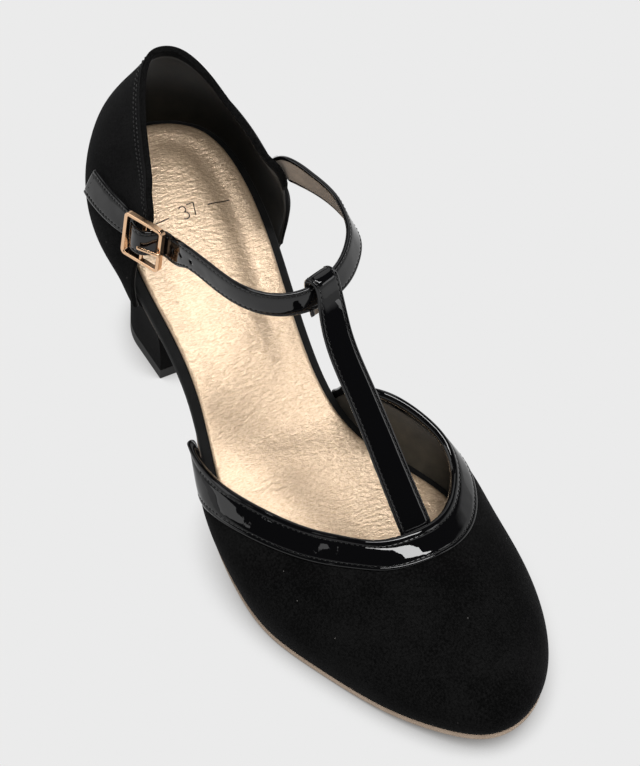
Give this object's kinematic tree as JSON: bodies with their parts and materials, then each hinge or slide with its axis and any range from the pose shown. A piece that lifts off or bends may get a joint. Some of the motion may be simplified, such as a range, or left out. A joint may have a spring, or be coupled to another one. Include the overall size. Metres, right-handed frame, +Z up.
{
  "type": "t strap shoe",
  "caption": "Women's T-strap shoe for the right foot: closed toe, closed heel cup, open waist, ankle strap with buckle, covered block heel.",
  "frame": {"origin": "middle of the heel's foot on the floor", "axes": "+X from the heel to the toe, +Y to the inner (medial) side of this right shoe, +Z up from the floor"},
  "size_m": [0.242, 0.0841, 0.0983],
  "materials": {
    "black_suede": "matt short nap, synthetic suede",
    "black_patent": "patent, high gloss",
    "gold_grained_sock": "pale gold foil on a fine pebble grain",
    "black_board_wrap": "matt wrap",
    "tan_outsole": "matt",
    "black_rubber": "matt",
    "rose_gold_metal": "polished rose gold plate"
  },
  "bodies": {
    "root": {"outsole": "tan_outsole", "heel_block": "black_suede", "heel_top_piece": "black_rubber", "insole_board": "black_board_wrap", "insole_sock": "gold_grained_sock", "upper_vamp": "black_suede", "vamp_binding": "black_patent", "upper_counter": "black_suede", "t_strap": "black_patent", "ankle_strap": "black_patent", "buckle_tab": "black_patent", "buckle_frame": "rose_gold_metal", "buckle_prong": "rose_gold_metal"}
  },
  "joints": []
}
